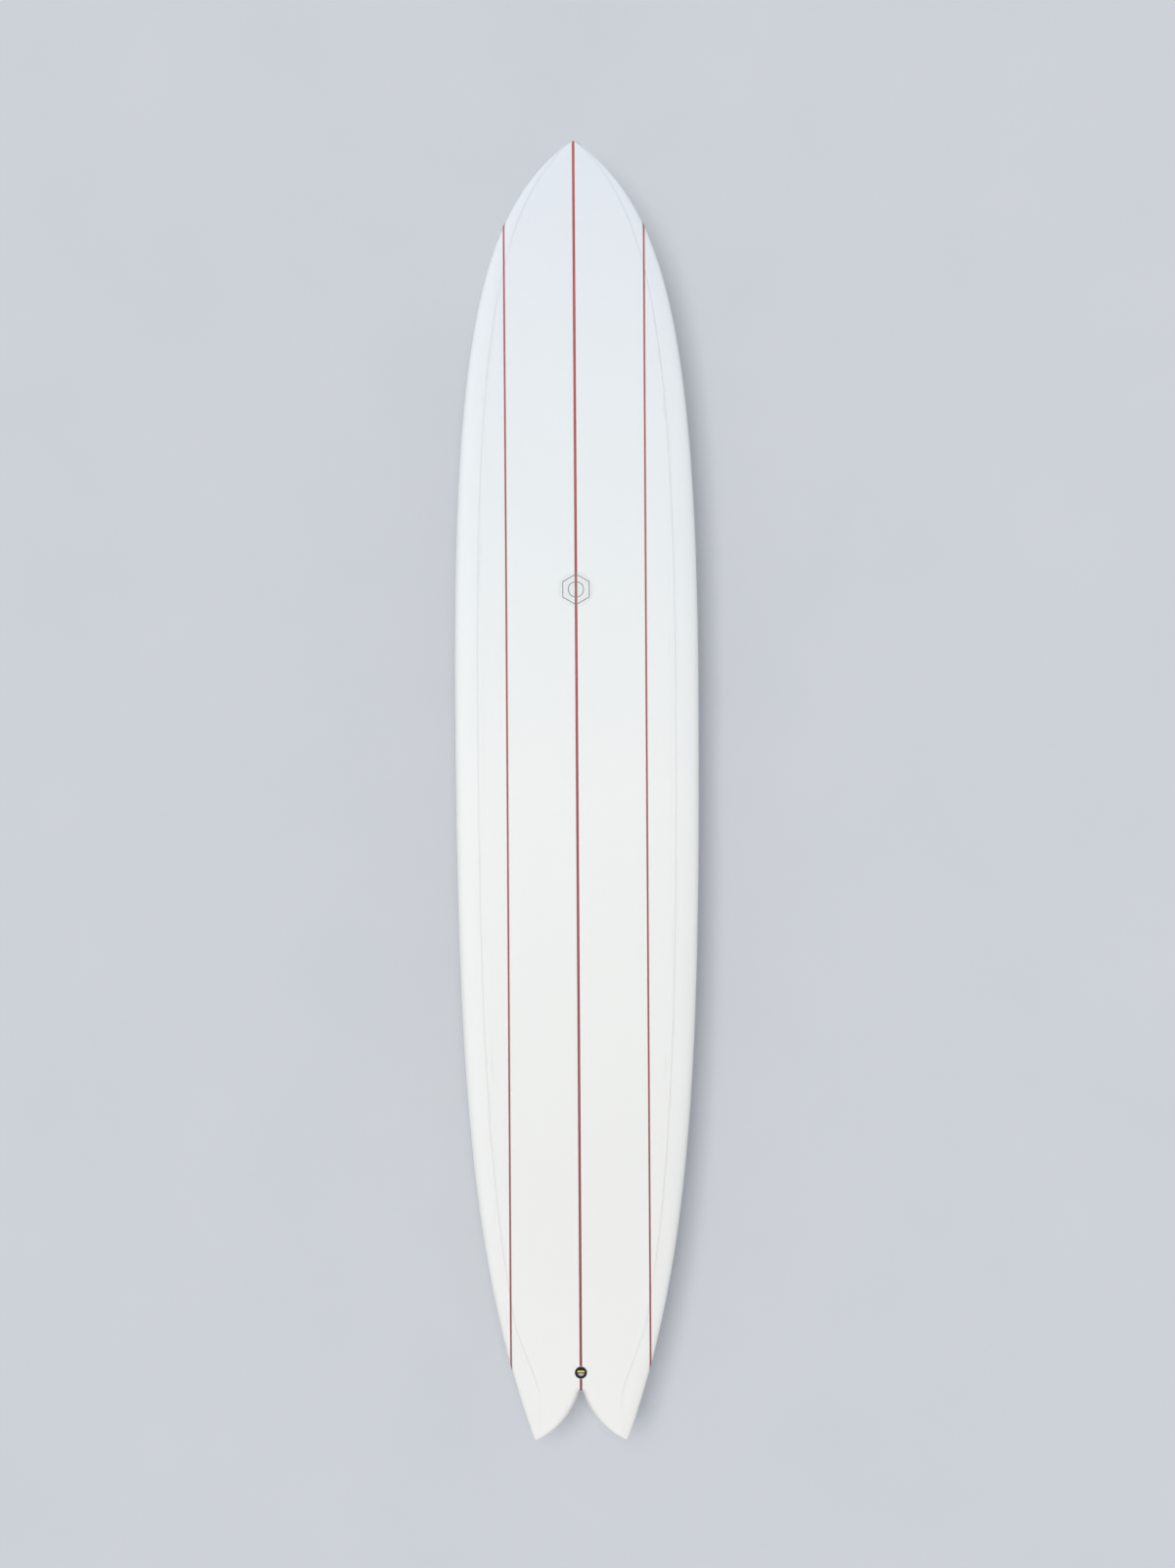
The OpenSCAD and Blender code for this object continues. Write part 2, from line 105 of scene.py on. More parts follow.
# Outline curves, each as the four points of a cubic
NOSE_CURVE = np.array([
    [HALF_W, WIDE_Y],
    [HALF_W, WIDE_Y + 0.688 * (NOSE_Y - WIDE_Y)],
    [0.715 * HALF_W, NOSE_Y - 0.1143 * (NOSE_Y - WIDE_Y)],
    [8.2, NOSE_Y],
])
TAIL_CURVE = np.array([
    [HALF_W, WIDE_Y],
    [HALF_W, WIDE_Y - 0.498 * (WIDE_Y - TAIL_Y)],
    [0.909 * HALF_W, TAIL_Y + 0.236 * (WIDE_Y - TAIL_Y)],
    [TIP_X + TIP_BLUNT, TAIL_Y],
])
HALVINGS = 30
NOSE_ROUND = 6.0
TIP_ROUND = 8.0
CROTCH_ROUND = 3.5
RIM_R = 198.0


def rim_centre():
    """Middle of the large arc of the swallow's edge, which touches the round in the crotch."""
    start = Vector((0, CROTCH_Y - CROTCH_ROUND))
    chord = Vector((TIP_X - TIP_BLUNT, TAIL_Y)) - start
    far = RIM_R + CROTCH_ROUND
    forward = (far**2 - RIM_R**2 + chord.length**2) / (2 * chord.length)
    aside = math.sqrt(far**2 - forward**2)
    return start + (forward * chord + aside * Vector((-chord.y, chord.x))) / chord.length


RIM_X, RIM_Y = rim_centre()
ROUND_Y = CROTCH_Y - CROTCH_ROUND
TOUCH_Y = ROUND_Y + CROTCH_ROUND * (RIM_Y - ROUND_Y) / (RIM_R + CROTCH_ROUND)


# ---------- Shape of the board, on arrays of stations y and distances x from the centreline ----------


def ease(share):
    """A quarter of an ellipse: 0 at the edge, 1 from a whole unit in."""
    return np.sqrt(1 - (1 - np.clip(share, 0, 1)) ** 2)


def mix(a, b, share):
    return a + (b - a) * share


def cubic(points, t):
    weights = np.stack([(1 - t) ** 3, 3 * (1 - t) ** 2 * t, 3 * (1 - t) * t * t, t**3])
    return np.tensordot(points, weights, axes=(0, 0))


def cubic_x(points, y):
    """x where the curve reaches y, found by halving the stretch that holds it."""
    low, high = np.zeros_like(y), np.ones_like(y)
    for _ in range(HALVINGS):
        middle = (low + high) / 2
        short = abs(cubic(points, middle)[1] - points[0, 1]) < abs(y - points[0, 1])
        low = np.where(short, middle, low)
        high = np.where(short, high, middle)
    return cubic(points, (low + high) / 2)[0]


def rail_x(y):
    side = np.where(y > WIDE_Y, cubic_x(NOSE_CURVE, y), cubic_x(TAIL_CURVE, y))
    return side * ease((NOSE_Y - y) / NOSE_ROUND)


def rim_x(y):
    """The swallow's edge: a small round in the crotch, then a large arc to the tail tip."""
    round_x = np.sqrt(np.maximum(CROTCH_ROUND**2 - (y - ROUND_Y) ** 2, 0))
    arc_x = RIM_X - np.sqrt(RIM_R**2 - np.clip(y - RIM_Y, -RIM_R, RIM_R) ** 2)
    return np.where(y >= CROTCH_Y, 0, np.where(y > TOUCH_Y, round_x, arc_x))


def from_rim(x, y):
    """Distance to the swallow's edge, whichever of its two curves is the nearer."""
    behind = -RIM_X * (y - RIM_Y) > (ROUND_Y - RIM_Y) * (x - RIM_X)
    to_arc = RIM_R - np.hypot(x - RIM_X, y - RIM_Y)
    to_round = np.hypot(x, y - ROUND_Y) - CROTCH_ROUND
    return np.where(behind, to_arc, to_round)


def rocker(y):
    """Height of the bottom on the centreline."""
    rise = NOSE_Y - HALF_FLAT
    bend = TAIL_LIFT / (STRAIGHT_AFTER * (2 * rise - STRAIGHT_AFTER))
    back = np.maximum(-y - HALF_FLAT, 0)
    curved = bend * back * back
    ramp = bend * STRAIGHT_AFTER * (2 * back - STRAIGHT_AFTER)
    return (
        NOSE_LIFT * (np.maximum(y - HALF_FLAT, 0) / rise) ** NOSE_FLIP
        + np.where(back < STRAIGHT_AFTER, curved, ramp)
    )


def along(y):
    """How far a station lies from the thickest one: 0 there, 1 at the nose, -1 at the tail."""
    return (y - THICK_Y) / np.where(y > THICK_Y, NOSE_Y - THICK_Y, THICK_Y - TAIL_Y)


def thickness(y):
    end = np.where(y > THICK_Y, NOSE_T, TAIL_T)
    return mix(BOARD_T, end, np.minimum(1, abs(along(y))) ** FOIL_POWER)


def apex_share(y):
    """Even at the nose and low at the tail."""
    return APEX_SHARE + np.where(y > THICK_Y, 0.08, -0.10) * along(y) ** 2


def rail_z(y):
    return rocker(y) + apex_share(y) * thickness(y)


def rolled(x, y, at_rail, at_rim):
    """1 on the flat of a surface, down to 0 at the rail, at the swallow's edge and at a tail tip."""
    span = rail_x(y) - rim_x(y)

    def roll(share):
        return np.maximum(0.01, np.minimum(share * thickness(y), MOST_ROLL * span))

    return (
        ease((rail_x(y) - x) / roll(at_rail))
        * ease(from_rim(x, y) / roll(at_rim))
        * ease((y - TAIL_Y) / TIP_ROUND)
    )


def deck_z(x, y):
    crown = 1 - DECK_CROWN * (x / np.maximum(0.01, rail_x(y))) ** 2
    roll = rolled(x, y, DECK_ROLL, DECK_RIM_ROLL)
    return rail_z(y) + (1 - apex_share(y)) * thickness(y) * crown * roll


def bottom_z(x, y):
    return rail_z(y) - apex_share(y) * thickness(y) * rolled(x, y, BOTTOM_ROLL, BOTTOM_RIM_ROLL)


def inset(span, depth):
    """What is left of a half-span under a skin. It stays above 0 where the board comes to a point."""
    return span * span / np.maximum(0.001, span + depth)


# ---------- Rows of stations, and lofts through them ----------

NOSE_ROWS, BACK_ROWS, SWALLOW_ROWS = 72, 72, 32
ROWS = np.concatenate([
    mix(HALF_FLAT, NOSE_Y, np.cos(np.linspace(0, math.pi / 2, NOSE_ROWS + 1))),
    mix(-HALF_FLAT, CROTCH_Y, np.sin(np.linspace(0, math.pi / 2, BACK_ROWS + 1))),
    mix(CROTCH_Y, TAIL_Y, (1 - np.cos(np.linspace(0, math.pi, SWALLOW_ROWS + 1)))[1:] / 2),
])
SPREAD_L = 150.0  # length ahead of the crotch over which the columns spread to both edges of a lobe
COLUMNS = 30
LAP = 18  # the column at which the lapped cloth ends
END_REACH = 20.0  # length over which a deeper surface's ends draw in


def middle_and_half(y):
    """Middle and half-width of the right half of the board, or of its lobe aft of the crotch."""
    middle = np.where(y < CROTCH_Y, (rail_x(y) + rim_x(y)) / 2, 0)
    return middle, rail_x(y) - middle


def end_shift(y):
    """How a deeper surface's ends draw in, at the nose, the crotch and the tail tips."""

    def near(distance):
        return np.clip(1 - abs(distance) / END_REACH, 0, 1) ** 2

    return near(y - CROTCH_Y) + near(y - TAIL_Y) - near(y - NOSE_Y)


def shrink(y, depth):
    """How much narrower a surface is than the outline, which leaves the rounding of the tail tips out."""
    half = middle_and_half(y)[1]
    return inset(half * ease((y - TAIL_Y) / TIP_ROUND), depth) / np.maximum(half, 1e-6)


def spot_line(y, x, side, depth):
    """One line of a surface along the board, as an array of points. x is measured on the outline."""
    top, bottom = deck_z(x, y), bottom_z(x, y)
    middle = middle_and_half(y)[0]
    inner = middle + (x - middle) * shrink(y, depth)
    z = (top + bottom) / 2 + side * inset(np.maximum(0, (top - bottom) / 2), depth)
    return np.stack([inner, y + depth * end_shift(y), z], axis=1)


def column_x(j, y):
    """x of a skin's column j on the outline."""
    spread = np.clip((CROTCH_Y + SPREAD_L - y) / SPREAD_L, 0, 1)
    share = mix(math.sin(math.pi / 2 * j / COLUMNS), (1 - math.cos(math.pi * j / COLUMNS)) / 2, spread)
    middle, half = middle_and_half(y)
    return middle + half * np.where(y < CROTCH_Y, 2 * share - 1, share)


def mesh_object(name, points, faces, slots):
    """A closed mesh with doubled points joined, empty faces taken out and smooth shading."""
    mesh = bpy.data.meshes.new(name)
    mesh.from_pydata((points * MM).tolist(), [], faces)
    if any(slots):
        mesh.materials.append(inner_cloth)
        mesh.materials.append(gloss_skin)
        mesh.polygons.foreach_set("material_index", slots)
    work = bmesh.new()
    work.from_mesh(mesh)
    bmesh.ops.remove_doubles(work, verts=work.verts, dist=2e-6)
    bmesh.ops.dissolve_degenerate(work, edges=work.edges, dist=1e-7)
    loose = [v for v in work.verts if not v.link_faces]
    bmesh.ops.delete(work, geom=loose, context="VERTS")
    bmesh.ops.recalc_face_normals(work, faces=work.faces)
    work.to_mesh(mesh)
    work.free()
    obj = bpy.data.objects.new(name, mesh)
    bpy.context.scene.collection.objects.link(obj)
    smooth(obj)
    return obj


def smooth(obj, angle=40):
    obj.data.polygons.foreach_set("use_smooth", [True] * len(obj.data.polygons))
    obj.data.set_sharp_from_angle(angle=math.radians(angle))


def loft(name, lines, hands, outside=0):
    """A solid whose section is a closed loop of lines along the board, on one or both sides of it.
    On both, the faces on the centreline are left out, where the two halves join. The faces between the
    first lines, as many as outside says, are the board's outer surface and take its second material."""
    lines = np.stack(lines)
    count, rows = lines.shape[:2]
    points, faces, slots = [], [], []
    for hand in hands:
        first = len(points) * count * rows
        points.append((lines * [hand, 1, 1]).reshape(-1, 3))
        for k in range(count):
            after = (k + 1) % count
            for i in range(rows - 1):
                corners = [(k, i), (after, i), (after, i + 1), (k, i + 1)]
                if len(hands) == 2 and all(abs(lines[c][0]) < 1e-6 for c in corners):
                    continue
                faces.append([first + a * rows + b for a, b in corners][::hand])
                slots.append(int(k < outside))
    return mesh_object(name, np.concatenate(points), faces, slots)


def skin_lines(start, stop, side, depth):
    step = 1 if stop >= start else -1
    return [spot_line(ROWS, column_x(j, ROWS), side, depth) for j in range(start, stop + step, step)]


def with_stations(distances):
    """The rows, with the stations added at which the rail passes these distances from the centreline."""
    ahead = np.linspace(WIDE_Y, NOSE_Y, 4000)
    behind = np.linspace(WIDE_Y, TAIL_Y, 4000)
    extra = [
        np.interp(-distance, -rail_x(stretch), stretch)
        for distance in distances
        for stretch in (ahead, behind)
        if 0 < distance < HALF_W and distance > rail_x(stretch[-1:])[0]
    ]
    return np.sort(np.concatenate([ROWS, extra]))[::-1]


def strip(name, start, stop, columns, hands):
    """The part of the blank between two distances from the centreline."""
    y = with_stations([start, stop])
    depth = 2 * LAYER_T
    middle, half = middle_and_half(y)
    outward = 1 / np.maximum(shrink(y, depth), 1e-6)
    low, high = (middle + (edge - middle) * outward for edge in (start, stop))
    low = np.maximum(low, np.where(y < CROTCH_Y, middle - half, 0))
    high = np.clip(high, low, np.maximum(low, middle + half))
    shares = (1 - np.cos(np.linspace(0, math.pi, columns))) / 2
    deck = [spot_line(y, mix(low, high, share), 1, depth) for share in shares]
    bottom = [spot_line(y, mix(low, high, share), -1, depth) for share in shares[::-1]]
    return loft(name, deck + bottom, hands)


# ---------- Cutters for the leash plug and the fin box ----------


def cut(obj, cutter, operation="DIFFERENCE"):
    """Cuts obj with a closed mesh, and keeps the result as obj's own mesh."""
    modifier = obj.modifiers.new("cut", "BOOLEAN")
    modifier.object = cutter
    modifier.operation = operation
    modifier.solver = "EXACT"
    view = bpy.context.evaluated_depsgraph_get()
    result = bpy.data.meshes.new_from_object(obj.evaluated_get(view), depsgraph=view)
    obj.modifiers.remove(modifier)
    obj.data = result
    smooth(obj)


def prism(name, sides, radius, low, high, matrix):
    """A prism along Z with regular sides, in a local frame."""
    angles = [2 * math.pi * k / sides for k in range(sides)]
    ring = [(radius * math.cos(a), radius * math.sin(a)) for a in angles]
    points = [(x, y, z) for z in (low, high) for x, y in ring]
    faces = [list(range(sides))[::-1], list(range(sides, 2 * sides))]
    faces += [[k, (k + 1) % sides, sides + (k + 1) % sides, sides + k] for k in range(sides)]
    return tool(name, points, faces, matrix)


def block(name, size, centre, matrix):
    """A rectangular block in a local frame."""
    corners = [(x, y, z) for x in (-0.5, 0.5) for y in (-0.5, 0.5) for z in (-0.5, 0.5)]
    points = [tuple(c + s * k for c, s, k in zip(centre, size, corner)) for corner in corners]
    faces = [[0, 1, 3, 2], [4, 6, 7, 5], [0, 4, 5, 1], [2, 3, 7, 6], [0, 2, 6, 4], [1, 5, 7, 3]]
    return tool(name, points, faces, matrix)


def tool(name, points, faces, matrix):
    mesh = bpy.data.meshes.new(name)
    mesh.from_pydata([matrix @ Vector(p) * MM for p in points], [], faces)
    obj = bpy.data.objects.new(name, mesh)
    bpy.context.scene.collection.objects.link(obj)
    return obj


record = frame["record"]
mounts = {mount["name"]: mount for mount in record["mounts"]}
slot_axis = Vector(mounts["fin_slot"]["axis"])
AT_BOX = Matrix.Translation(Vector(mounts["fin_slot"]["pos_m"]) / MM) @ Matrix.Rotation(
    -math.atan2(-slot_axis.z, slot_axis.y), 4, "X"
)

CUP_R = 14.3
CUP_Y = CROTCH_Y + 46.0
cup_ends = deck_z(np.zeros(3), np.array([CUP_Y - CUP_R, CUP_Y, CUP_Y + CUP_R]))
AT_CUP = Matrix.Translation((0, CUP_Y, cup_ends[1])) @ Matrix.Rotation(
    math.atan2(cup_ends[2] - cup_ends[0], 2 * CUP_R), 4, "X"
)
CUP_H = 20.0
BOX_W, BOX_L, BOX_H = 27.0, 273.0, 26.0
RESIN_SIDE = 0.6
RESIN_FLOOR = 1.5
CLEAR = 40.0  # how far a cutter stands out of the board
CUTTER_SIDES = 96
DECAL_Y = 479.0
DECAL_R = 41.0
AT_DECAL = Matrix.Translation((0, DECAL_Y, 0))

cup_hole = prism("cut_cup", CUTTER_SIDES, CUP_R + RESIN_SIDE, -CUP_H - RESIN_FLOOR, CLEAR, AT_CUP)
box_hole = block(
    "cut_box",
    (BOX_W + 2 * RESIN_SIDE, BOX_L + 2 * RESIN_SIDE, BOX_H + RESIN_FLOOR + CLEAR),
    (0, 0, (BOX_H + RESIN_FLOOR - CLEAR) / 2),
    AT_BOX,
)
decal_hole = prism("cut_decal", CUTTER_SIDES, DECAL_R, 0, 150, AT_DECAL)

# ---------- Materials ----------


class Nodes:
    """A short way to write the node tree of a material or of the world."""

    def __init__(self, owner, output="OutputMaterial"):
        self.owner = owner
        owner.use_nodes = True
        self.tree = owner.node_tree
        self.tree.nodes.clear()
        self.output = self.add(output)
        self.coordinates = self.add("TexCoord")

    def add(self, kind, settings=None, **inputs):
        node = self.tree.nodes.new("ShaderNode" + kind)
        for key, value in (settings or {}).items():
            setattr(node, key, value)
        for key, value in inputs.items():
            self.plug(node, key.replace("_", " "), value)
        return node

    def plug(self, node, key, value):
        socket = node.inputs[int(key) if key.isdigit() else key]
        if isinstance(value, bpy.types.NodeSocket):
            self.tree.links.new(value, socket)
        else:
            socket.default_value = value

    def math(self, operation, a, b=0.0, c=0.0):
        node = self.tree.nodes.new("ShaderNodeMath")
        node.operation = operation
        for key, value in zip("012", (a, b, c)):
            self.plug(node, key, value)
        return node.outputs[0]

    def place(self, scale=(1, 1, 1), offset=(0, 0, 0)):
        """Points of the object in the row frame, in metres, scaled after the offset."""
        moved = self.tree.nodes.new("ShaderNodeVectorMath")
        moved.operation = "ADD"
        moved.inputs[1].default_value = offset
        self.tree.links.new(self.coordinates.outputs["Object"], moved.inputs[0])
        scaled = self.tree.nodes.new("ShaderNodeVectorMath")
        scaled.operation = "MULTIPLY"
        scaled.inputs[1].default_value = scale
        self.tree.links.new(moved.outputs[0], scaled.inputs[0])
        return scaled.outputs[0]

    def noise(self, scale, detail=2.0, roughness=0.5):
        """Noise with a number of cells to the metre along each axis."""
        node = self.add("TexNoise", Vector=self.place(scale), Scale=1.0, Detail=detail, Roughness=roughness)
        return node.outputs["Fac"]

    def ramp(self, factor, stops):
        node = self.tree.nodes.new("ShaderNodeValToRGB")
        self.tree.links.new(factor, node.inputs[0])
        elements = node.color_ramp.elements
        while len(elements) < len(stops):
            elements.new(0.5)
        for element, (position, colour) in zip(elements, stops):
            element.position = position
            element.color = colour
        return node.outputs[0]

    def blend(self, factor, a, b, mode="MIX"):
        node = self.tree.nodes.new("ShaderNodeMix")
        node.data_type = "RGBA"
        node.blend_type = mode
        for key, value in zip("067", (factor, a, b)):
            self.plug(node, key, value)
        return node.outputs[2]

    def bump(self, height, distance_mm, strength=1.0):
        node = self.add("Bump", Height=height, Distance=distance_mm * MM, Strength=strength)
        return node.outputs[0]

    def weave(self, pitch_mm):
        """Threads that pass over and under one another: 0 to 1 across a plain cloth."""
        split = self.add("SeparateXYZ", Vector=self.place((math.pi / (pitch_mm * MM),) * 3))
        waves = [self.math("SINE", split.outputs[axis]) for axis in (0, 1)]
        both_ways = self.math("MULTIPLY", *waves)
        return self.math("MULTIPLY_ADD", both_ways, 0.5, 0.5)

    def finish(self, shader):
        self.tree.links.new(shader, self.output.inputs["Surface"])
        return self.owner


def material_nodes(name):
    return Nodes(bpy.data.materials.new(name))


def srgb(red, green, blue):
    """A colour given as the screen shows it, 0 to 255."""
    values = [v / 255 for v in (red, green, blue)]
    return (*[v / 12.92 if v <= 0.04045 else ((v + 0.055) / 1.055) ** 2.4 for v in values], 1.0)


def foam_material():
    """White closed-cell foam with fine cells. Painted light: a ramp along the board paints the nose darker
    and cooler and the tail warmer, as the light falls there.
    """
    n = material_nodes("foam")
    split = n.add("SeparateXYZ", Vector=n.place())
    along_board = n.math("MULTIPLY_ADD", split.outputs["Y"], 0.5 / 1.5, 0.5)
    # painted shade and light: the darker, cooler colour at the nose and the warmer colour at the tail stand
    # in for how the light falls along the board
    base = n.ramp(along_board, [
        (0.0, srgb(246, 244, 239)),
        (0.2, srgb(243, 242, 238)),
        (0.5, srgb(246, 246, 243)),
        (0.72, srgb(239, 243, 243)),
        (1.0, srgb(231, 236, 242)),
    ])
    clouds = n.noise((6, 3, 6), detail=3)
    colour = n.blend(n.math("MULTIPLY", clouds, 0.05), base, srgb(214, 216, 214))
    cells = n.noise((900, 900, 900), detail=1)
    shader = n.add(
        "BsdfPrincipled", Base_Color=colour, Roughness=0.85, Normal=n.bump(cells, 0.05, 0.4)
    )
    return n.finish(shader.outputs[0])


def cedar_material():
    """Red cedar, planed, with its grain along the board. It is darker towards the tail."""
    n = material_nodes("cedar")
    grain = n.noise((520, 5, 120), detail=4, roughness=0.6)
    colour = n.ramp(grain, [
        (0.25, srgb(146, 36, 28)),
        (0.5, srgb(176, 58, 44)),
        (0.75, srgb(194, 80, 60)),
    ])
    lengths = n.noise((20, 2.2, 20), detail=2)
    split = n.add("SeparateXYZ", Vector=n.place())
    tailward = n.math("MULTIPLY_ADD", split.outputs["Y"], -0.3, 0.32)
    shade = n.math("ADD", n.math("MULTIPLY", lengths, 0.3), tailward)
    shade.node.use_clamp = True
    colour = n.blend(shade, colour, srgb(122, 18, 34))
    shader = n.add(
        "BsdfPrincipled", Base_Color=colour, Roughness=0.6, Normal=n.bump(grain, 0.08, 0.5)
    )
    return n.finish(shader.outputs[0])


def clear_material(name, haze, gloss, pitch_mm=1.5):
    """Resin over glass cloth: what is behind it shows through, with a faint haze where threads cross.
    With gloss, it also mirrors at the outside, as a polished coat with a slight long wave in it does."""
    n = material_nodes(name)
    threads = n.weave(pitch_mm)
    patches = n.noise((9, 5, 9), detail=3)
    milky = n.add("BsdfDiffuse", Color=n.blend(patches, srgb(238, 243, 242), srgb(250, 250, 246)))
    clear = n.add("BsdfTransparent", Color=(1, 1, 1, 1))
    amount = n.math("MULTIPLY_ADD", threads, haze * 0.6, haze * 0.7)
    body = n.add("MixShader", **{"0": amount, "1": clear.outputs[0], "2": milky.outputs[0]})
    if not gloss:
        return n.finish(body.outputs[0])
    wave = n.noise((14, 7, 14), detail=2)
    normal = n.bump(n.math("ADD", wave, n.math("MULTIPLY", threads, 0.002)), 0.35, 0.5)
    mirror = n.add(
        "BsdfGlossy", Color=(1, 1, 1, 1), Roughness=n.math("MULTIPLY_ADD", patches, 0.06, 0.03), Normal=normal
    )
    fresnel = n.add("Fresnel", IOR=1.5, Normal=normal)
    geometry = n.add("NewGeometry")
    outside = n.math("SUBTRACT", 1.0, geometry.outputs["Backfacing"])
    share = n.math("MULTIPLY", fresnel.outputs[0], outside)
    coat = n.add("MixShader", **{"0": share, "1": body.outputs[0], "2": mirror.outputs[0]})
    return n.finish(coat.outputs[0])


def decal_material():
    """Clear tissue with a thin grey line drawing: a hexagon round a ring and a dot."""
    n = material_nodes("tissue")
    split = n.add("SeparateXYZ", Vector=n.place((1 / MM, 1 / MM, 1 / MM), (0, -DECAL_Y * MM, 0)))
    x, y = split.outputs["X"], split.outputs["Y"]
    radius = n.math("SQRT", n.math("ADD", n.math("MULTIPLY", x, x), n.math("MULTIPLY", y, y)))

    def line(distance, at, half_width=0.75, soft=0.3):
        off = n.math("ABSOLUTE", n.math("SUBTRACT", distance, at))
        edge = n.math("DIVIDE", n.math("SUBTRACT", half_width + soft, off), soft)
        edge.node.use_clamp = True
        return edge

    sides = []
    for k in range(3):
        angle = math.pi * k / 3
        across = n.math("ADD", n.math("MULTIPLY", x, math.cos(angle)), n.math("MULTIPLY", y, math.sin(angle)))
        sides.append(n.math("ABSOLUTE", across))
    hexagon = n.math("MAXIMUM", n.math("MAXIMUM", sides[0], sides[1]), sides[2])
    ink = n.math("MAXIMUM", line(hexagon, 31.0), line(radius, 18.0))
    ink = n.math("MAXIMUM", ink, line(radius, 0.0, 2.6))
    print_noise = n.noise((700, 700, 700), detail=1)
    ink = n.math("MULTIPLY", ink, n.math("MULTIPLY_ADD", print_noise, 0.3, 0.75))
    threads = n.weave(0.8)
    amount = n.math("MAXIMUM", n.math("MULTIPLY_ADD", threads, 0.02, 0.03), ink)
    amount.node.use_clamp = True
    printed = n.add("BsdfDiffuse", Color=n.blend(ink, srgb(236, 238, 237), srgb(84, 88, 92)))
    clear = n.add("BsdfTransparent", Color=(1, 1, 1, 1))
    shader = n.add("MixShader", **{"0": amount, "1": clear.outputs[0], "2": printed.outputs[0]})
    return n.finish(shader.outputs[0])


def plastic_material(name, light, dark, roughness, painted_bowl_highlight=False):
    """Moulded plastic with a fine skin and faint scuffs. When the bowl's highlight is asked for, a pale
    crescent is painted on the tail side of the leash plug's bowl: a painted highlight where its glossy wall
    would catch the light."""
    n = material_nodes(name)
    grain = n.noise((1500, 1500, 1500), detail=2)
    scuffs = n.noise((260, 60, 260), detail=4)
    colour = n.blend(scuffs, dark, light)
    rough = n.math("MULTIPLY_ADD", scuffs, 0.25, roughness - 0.1)
    if painted_bowl_highlight:
        # painted highlight: a pale crescent on the bowl's tail-side wall, bounded by these limits, stands in
        # for light caught by the glossy plastic
        local = n.add("SeparateXYZ", Vector=n.place((1 / MM,) * 3, -AT_CUP.translation * MM))
        x, y, z = (local.outputs[axis] for axis in (0, 1, 2))
        radius = n.math("SQRT", n.math("ADD", n.math("MULTIPLY", x, x), n.math("MULTIPLY", y, y)))
        ragged = n.math("MULTIPLY", n.math("SUBTRACT", n.noise((500, 500, 500)), 0.5), 2.0)
        limits = (
            n.math("MULTIPLY_ADD", n.math("ADD", y, ragged), -0.8, -2.4),
            n.math("MULTIPLY_ADD", z, -0.8, -1.6),
            n.math("SUBTRACT", 9.2, radius),
        )
        share = 1.0
        for limit in limits:
            share = n.math("MINIMUM", share, n.math("MAXIMUM", limit, 0.0))
        colour = n.blend(share, colour, srgb(226, 224, 222))
    shader = n.add(
        "BsdfPrincipled", Base_Color=colour, Roughness=rough, Normal=n.bump(grain, 0.02, 0.3)
    )
    return n.finish(shader.outputs[0])


def metal_material(name, light, dark, roughness, scale, metallic=1.0):
    """Drawn or turned metal with fine lines along one axis."""
    n = material_nodes(name)
    lines = n.noise(scale, detail=3)
    colour = n.blend(lines, dark, light)
    rough = n.math("MULTIPLY_ADD", lines, 0.2, roughness - 0.1)
    shader = n.add(
        "BsdfPrincipled",
        Base_Color=colour,
        Metallic=metallic,
        Roughness=rough,
        Normal=n.bump(lines, 0.01, 0.4),
    )
    return n.finish(shader.outputs[0])


def fin_material():
    """Solid glass-cloth panel, foiled by grinding, so that its layers show as contour lines."""
    n = material_nodes("fin_fibreglass")
    split = n.add("SeparateXYZ", Vector=n.place())
    depth = n.math("MULTIPLY", n.math("ABSOLUTE", split.outputs["X"]), 2 * math.pi / (0.55 * MM))
    layers = n.math("MULTIPLY_ADD", n.math("SINE", depth), 0.5, 0.5)
    clouds = n.noise((30, 30, 30), detail=3)
    base = n.blend(clouds, srgb(196, 208, 178), srgb(218, 226, 204))
    colour = n.blend(n.math("MULTIPLY", layers, 0.35), base, srgb(150, 168, 134))
    threads = n.add("SeparateXYZ", Vector=n.place((1, math.pi / (1.6 * MM), math.pi / (1.6 * MM))))
    weave = n.math("MULTIPLY", n.math("SINE", threads.outputs["Y"]), n.math("SINE", threads.outputs["Z"]))
    colour = n.blend(n.math("MULTIPLY_ADD", weave, 0.06, 0.06), colour, srgb(236, 240, 226))
    shader = n.add(
        "BsdfPrincipled",
        Base_Color=colour,
        Roughness=0.22,
        Coat_Weight=1.0,
        Coat_Roughness=0.05,
    )
    return n.finish(shader.outputs[0])


foam = foam_material()
cedar = cedar_material()
gloss_skin = clear_material("gloss_skin", 0.06, True)
inner_cloth = clear_material("inner_cloth", 0.004, False)
black = plastic_material("black_plastic", srgb(42, 42, 45), srgb(17, 17, 19), 0.32)
cup_black = plastic_material("cup_plastic", srgb(34, 34, 37), srgb(14, 14, 16), 0.28, painted_bowl_highlight=True)
brass = metal_material("bar_brass", srgb(255, 236, 138), srgb(240, 206, 96), 0.3, (60, 1800, 1800), 0.15)
steel = metal_material("stainless", srgb(206, 208, 210), srgb(150, 152, 156), 0.3, (1500, 1500, 80))
resin = plastic_material("bedding_resin", srgb(236, 238, 234), srgb(214, 218, 214), 0.3)
fin_glass = fin_material()

# ---------- The board's pieces ----------

